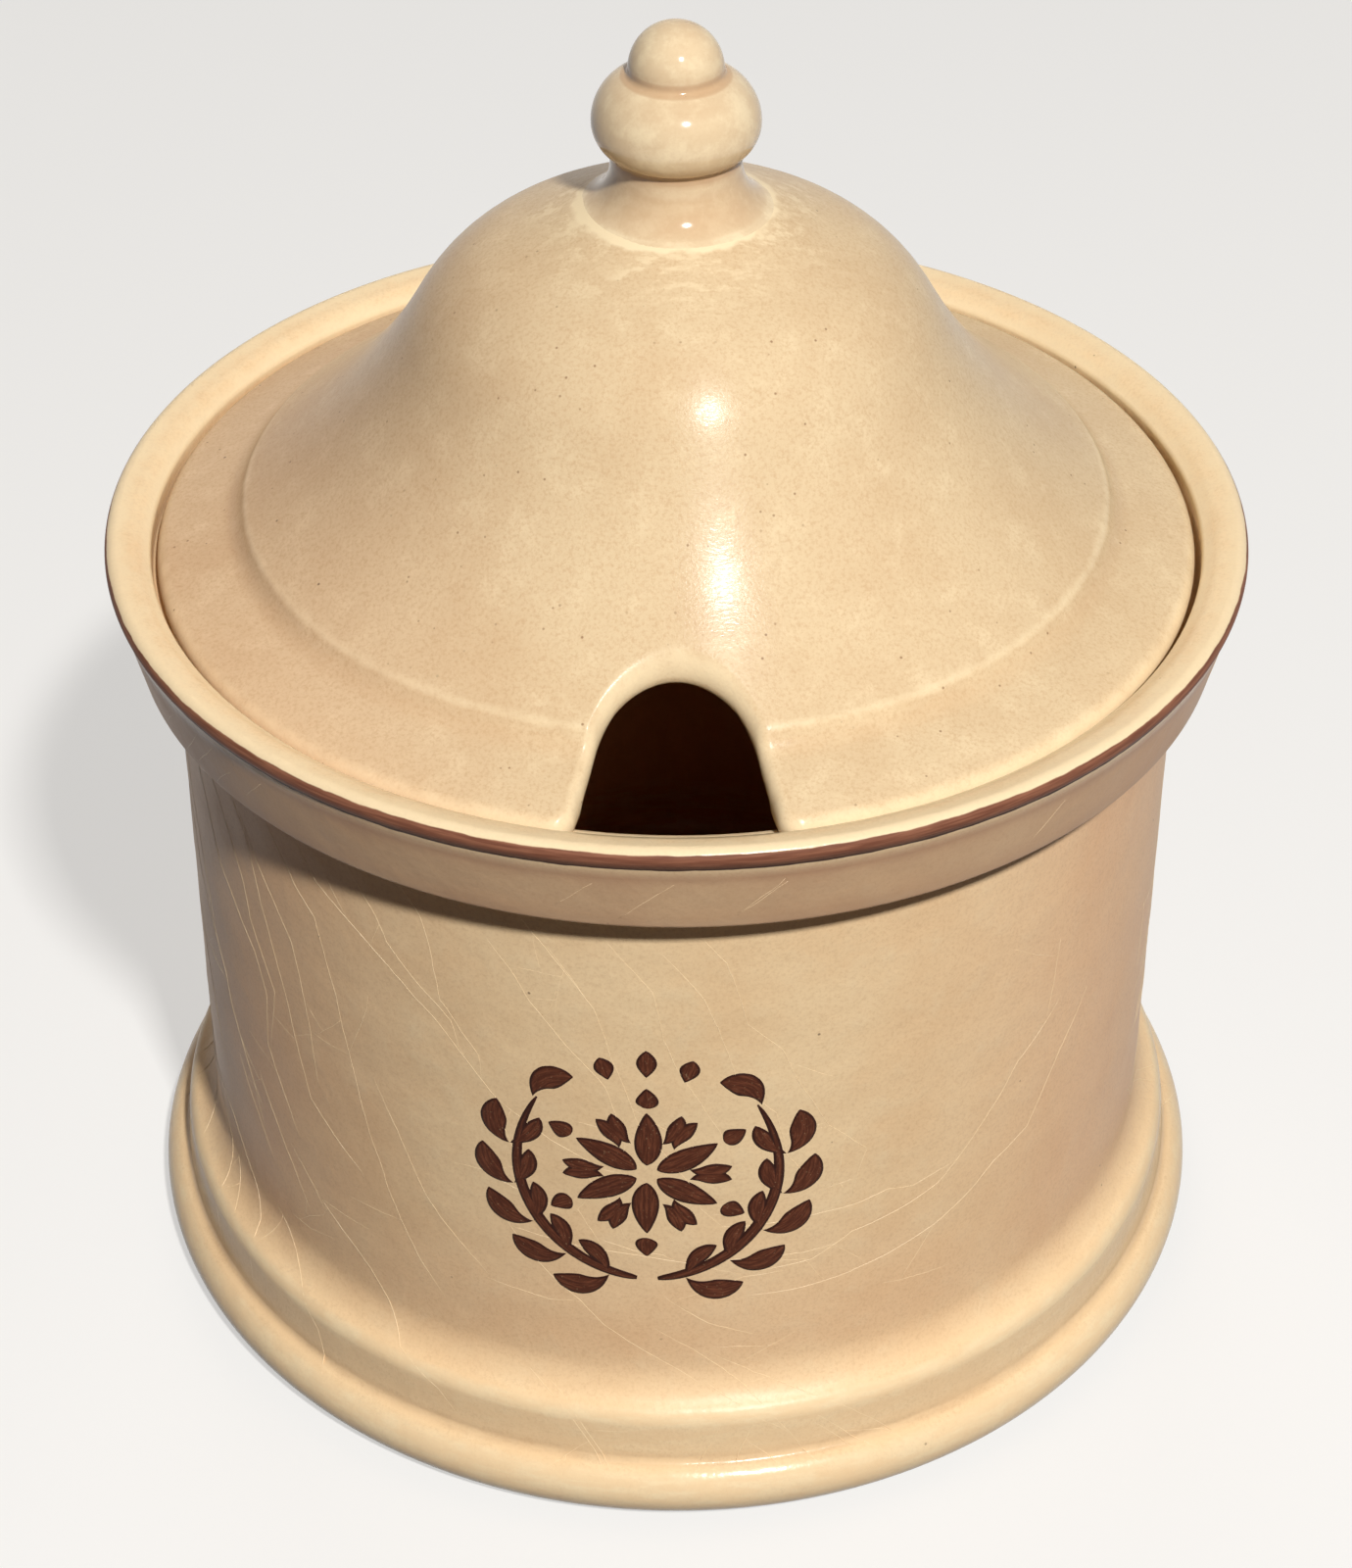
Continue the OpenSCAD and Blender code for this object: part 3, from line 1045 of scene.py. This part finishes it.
def painted_shade_and_inside(graph, colour):
    """Painted shade: browner on the wall's sides, away from the lit front, and low on the wall; and a
    brown inside.
    """
    # Painted shade: the wall's sides and its low part, which lie in shade, are multiplied by the warm
    # shade tint
    aside = graph.product(graph.ease(graph.y, -0.095, -0.05), graph.ease(graph.y, 0.05, -0.03))
    aside = graph.math("MAXIMUM", aside, graph.ease(graph.z, 0.08, 0.03, 0, 0.55))
    aside = graph.product(aside, graph.attribute("wall"))
    colour = graph.mix(aside, colour, SHADE_TINT, "MULTIPLY")
    return graph.mix(graph.attribute("inside"), colour, INSIDE)


def foot_wash(graph, colour):
    """Brushwork round the foot."""
    round_foot = graph.joined(graph.angle(), graph.product(graph.z, 60))
    brushwork = graph.noise(130, detail=4, rough=0.65, vector=round_foot)
    on_foot = graph.ease(graph.z, 0.03, 0.022)
    washed = graph.product(on_foot, graph.ease(brushwork, 0.42, 0.6, 0.55, 0))
    return graph.mix(washed, colour, TAN)


def painted_collar_shade(graph, colour):
    """Painted shade on the collar: its face darker and browner, more so toward its top and its lower
    edge, and darkest just below the band, in the lip's shadow.
    """
    collar = graph.attribute("collar")
    patchy = graph.ease(graph.noise(18, detail=3), 0.25, 0.75, 0.75, 1.0)
    colour = graph.mix(graph.product(collar, patchy), colour, COLLAR_SHADE)
    # Painted shadow of the lip, just below the band
    below_band = graph.ease(graph.attribute("band_low"), -4.5, 0, 0, 0.7)
    return graph.mix(graph.product(below_band, collar), colour, LIP_WARM_AND_SHADE)


def lip_band(graph):
    """Where the band lies, and its colour: brushed, with a painted shadow line along its lower edge."""
    depth = graph.attribute("band")
    band = graph.ease(graph.math("ADD", depth, graph.stray(0.6, 5, detail=3)), -0.10, 0.14)
    brush = graph.stretched((9, 1.6, 1), graph.joined(graph.angle(), depth))
    streak = graph.noise(1000, detail=3, rough=0.6, vector=brush)
    colour = graph.mix(graph.ease(streak, 0.36, 0.68), LIP_BROWN, LIP_WARM_AND_SHADE)
    # Painted shadow: the band turns dark along its lower edge, under the lip's bead
    return band, graph.mix(graph.ease(graph.attribute("band_low"), 1.2, 0.2), colour, DARK_BROWN_AND_SHADE)


def crock_glaze():
    """Satin cream glaze, glossier on foot and rim, with a dull brown lip band and a bare foot ring;
    painted shade on the wall's sides, low on the wall, on the collar and under the band.
    """
    graph = Graph("crock_glaze")
    colour = painted_shade_and_inside(graph, mottled_glaze(graph, CREAM, TAN, 0.26))
    colour = painted_collar_shade(graph, foot_wash(graph, colour))
    band, brown = lip_band(graph)
    colour = graph.mix(band, colour, brown)
    colour = graph.mix(graph.attribute("bare"), colour, CLAY)
    rough = graph.ease(graph.attribute("shine"), 0, 1, 0.42, 0.22)
    rough = graph.math("ADD", rough, graph.stray(0.10, 14, detail=3))
    rough = graph.math("ADD", rough, graph.product(band, 0.35))
    dents = graph.bump(graph.noise(7), 0.22)
    peel = graph.bump(graph.noise(1.5, detail=3, rough=0.6), 0.05, normal=dents)
    return graph.shade(base_color=colour, roughness=rough, normal=peel, specular_ior_level=0.19)


def crack_glaze():
    """The paler glaze along a crack."""
    graph = Graph("crack_glaze")
    colour = graph.mix(graph.ease(graph.noise(9), 0.35, 0.65), CREAM, CRACK)
    return graph.shade(base_color=colour, roughness=0.36)


def lid_glaze():
    """A drier coat of the glaze with a sandy grain, and pale smears round the knob."""
    graph = Graph("lid_glaze")
    colour = mottled_glaze(graph, SAND, DARK_SAND, 0.42, palest=0.74)
    # Painted shade: the lid's left side, away from the key lamp, is multiplied by the warm shade tint
    colour = graph.mix(graph.ease(graph.x, -0.01, -0.07, 0, 0.6), colour, SHADE_TINT, "MULTIPLY")
    colour = pitted(graph, colour)
    crown = graph.attribute("crown")
    reach = graph.math("ADD", crown, graph.stray(24, 9, detail=3))
    strokes = graph.noise(2.4, detail=4, rough=0.65, vector=graph.stretched((0.45, 1, 1.6)))
    smear = graph.product(graph.ease(reach, 32, 15), graph.ease(strokes, 0.46, 0.62))
    rim = graph.ease(graph.math("ADD", crown, graph.stray(4, 4, detail=3)), 18.6, 17)
    colour = graph.mix(graph.math("MAXIMUM", graph.product(smear, 0.7), rim), colour, PALE)
    rough = graph.math("MULTIPLY_ADD", graph.noise(3, detail=3), 0.08, 0.20)
    turning = graph.joined(graph.product(crown, MM), graph.product(graph.angle(), 0.018), graph.z)
    grit = graph.bump(graph.noise(0.6, detail=2, rough=0.55, vector=turning), 0.06)
    sand = graph.bump(graph.noise(0.5, detail=3, rough=0.65), 0.04)
    tangent = graph.node("ShaderNodeTangent", direction_type="RADIAL", axis="Z").outputs["Tangent"]
    return graph.shade(
        base_color=colour,
        roughness=rough,
        normal=sand,
        specular_ior_level=0.09,
        anisotropic=0.8,
        anisotropic_rotation=0.25,
        tangent=tangent,
        coat_weight=0.065,
        coat_roughness=0.14,
        coat_normal=grit,
    )


def knob_glaze():
    """A glossier, paler coat of the same glaze with faint turning lines."""
    graph = Graph("knob_glaze")
    colour = mottled_glaze(graph, KNOB, KNOB, 0.12)
    blotch = graph.noise(5, detail=4, rough=0.65)
    colour = graph.mix(graph.ease(blotch, 0.42, 0.66, 0.28, 0), colour, POOLED)
    colour = graph.mix(graph.ease(graph.attribute("edge"), -0.05, -0.6, 0, 0.5), colour, POOLED)
    lines = graph.noise(6, detail=3, vector=graph.stretched((0.2, 0.2, 1.4)))
    colour = graph.mix(graph.ease(lines, 0.45, 0.75, 0, 0.3), colour, POOLED)
    rough = graph.math("MULTIPLY_ADD", graph.noise(8, detail=3), 0.05, 0.07)
    peel = graph.bump(graph.noise(2.6), 0.02)
    return graph.shade(base_color=colour, roughness=rough, normal=peel)


def ornament_paint():
    """Dark brown stencil colour with a darker outline and brushed streaks."""
    graph = Graph("ornament_paint")
    lie = graph.joined(graph.product(graph.attribute("along"), 0.12), graph.attribute("across"))
    streak = graph.noise(450, detail=3, rough=0.6, vector=lie)
    colour = graph.mix(graph.ease(streak, 0.40, 0.72), BROWN, WARM_BROWN)
    colour = graph.mix(graph.ease(graph.noise(0.5), 0.62, 0.85, 0, 0.3), colour, TAN)
    rim = graph.math("ADD", graph.attribute("rim"), graph.stray(0.3, 1.5))
    colour = graph.mix(graph.ease(rim, 0.75, 0.35), colour, DARK_BROWN_AND_SHADE)
    scratch = graph.bump(streak, 0.03)
    return graph.shade(base_color=colour, roughness=0.5, normal=scratch, specular_ior_level=0.08)


def floor_material():
    """A pale floor that throws little light back up onto the ware."""
    graph = Graph("floor")
    seen = graph.seen()
    return graph.shade(
        base_color=graph.mix(seen, FLOOR_BOUNCE, FLOOR),
        roughness=0.8,
        specular_ior_level=0.1,
        emission_color=BACKDROP,
        emission_strength=graph.product(seen, FLOOR_GLOW),
    )


def make_stage():
    """A pale floor, a key lamp at front right, a weak front lamp, an even back light, and a room."""
    mesh = bpy.data.meshes.new("floor")
    disc = bmesh.new()
    bmesh.ops.create_circle(disc, cap_ends=True, radius=6, segments=96)
    disc.to_mesh(mesh)
    disc.free()
    floor = new_object("floor", mesh)
    mesh.materials.append(floor_material())

    lamp("key", KEY_COLOUR, right=18, up=48.5, distance=1.9, size=0.13, power=44.3)
    lamp("front", FRONT_COLOUR, right=24, up=22, distance=1.8, size=1.0, power=0.4, mirrored=False)
    sun("back", BACK_COLOUR, right=189, up=12, spread=30, strength=1.5)
    make_world()


def make_world():
    """A dim warm room that looks pale to the camera and in reflections."""
    world = bpy.data.worlds.new("studio")
    bpy.context.scene.world = world
    world.use_nodes = True
    graph = Nodes(world.node_tree)
    room = graph.tree.nodes["Background"]
    graph.feed(room.inputs["Color"], ROOM_TINT)
    graph.feed(room.inputs["Strength"], ROOM_LEVEL)
    backdrop = graph.node("ShaderNodeBackground", {"Color": BACKDROP, "Strength": BACKDROP_LEVEL})
    ways = {0: graph.seen(), 1: room.outputs["Background"], 2: backdrop.outputs["Background"]}
    choice = graph.node("ShaderNodeMixShader", ways)
    graph.feed(graph.tree.nodes["World Output"].inputs["Surface"], choice.outputs["Shader"])


def lamp(name, colour, right, up, distance, size, power, mirrored=True):
    """A square lamp that faces the bucket, right of the camera and up by so many degrees."""
    data = bpy.data.lights.new(name, "AREA")
    data.size = size
    data.energy = power
    data.color = colour
    hang(data, right, up, distance, mirrored)


def sun(name, colour, right, up, spread, strength):
    """An even light from far away, spread over so many degrees, that isn't mirrored in the glaze."""
    data = bpy.data.lights.new(name, "SUN")
    data.angle = math.radians(spread)
    data.energy = strength
    data.color = colour
    hang(data, right, up, 2.0, False)


def hang(data, right, up, distance, mirrored):
    """Puts a light right of the camera and up by so many degrees, facing the bucket."""
    piece = new_object(data.name, data)
    away = Vector((sin(right) * cos(up), -cos(right) * cos(up), sin(up)))
    piece.location = LAMP_AIM + away * distance
    piece.rotation_euler = away.to_track_quat("Z", "Y").to_euler()
    piece.visible_camera = False
    piece.visible_glossy = mirrored


def make_camera():
    data = bpy.data.cameras.new("camera")
    data.lens = CAMERA_LENS
    data.sensor_width = CAMERA_SENSOR
    camera = new_object("camera", data)
    camera.location = CAMERA_PLACE
    camera.rotation_euler = (math.radians(90 - CAMERA_PITCH), 0, 0)
    bpy.context.scene.camera = camera


def dress(piece, body, node, material):
    """Puts a piece on its body in place of its CAD node."""
    piece.data.materials.append(material)
    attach(piece, body)
    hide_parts(node)


def decorate(piece, material):
    """Puts a piece that only decorates the crock on it."""
    piece.data.materials.append(material)
    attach(piece, "crock")


bpy.context.scene.view_settings.view_transform = "Standard"
make_camera()
make_stage()
dress(make_crock(), "crock", "crock", crock_glaze())
dress(make_lid(), "lid", "lid", lid_glaze())
dress(make_knob(), "lid", "knob", knob_glaze())
decorate(make_cracks(), crack_glaze())
decorate(make_ornament(), ornament_paint())
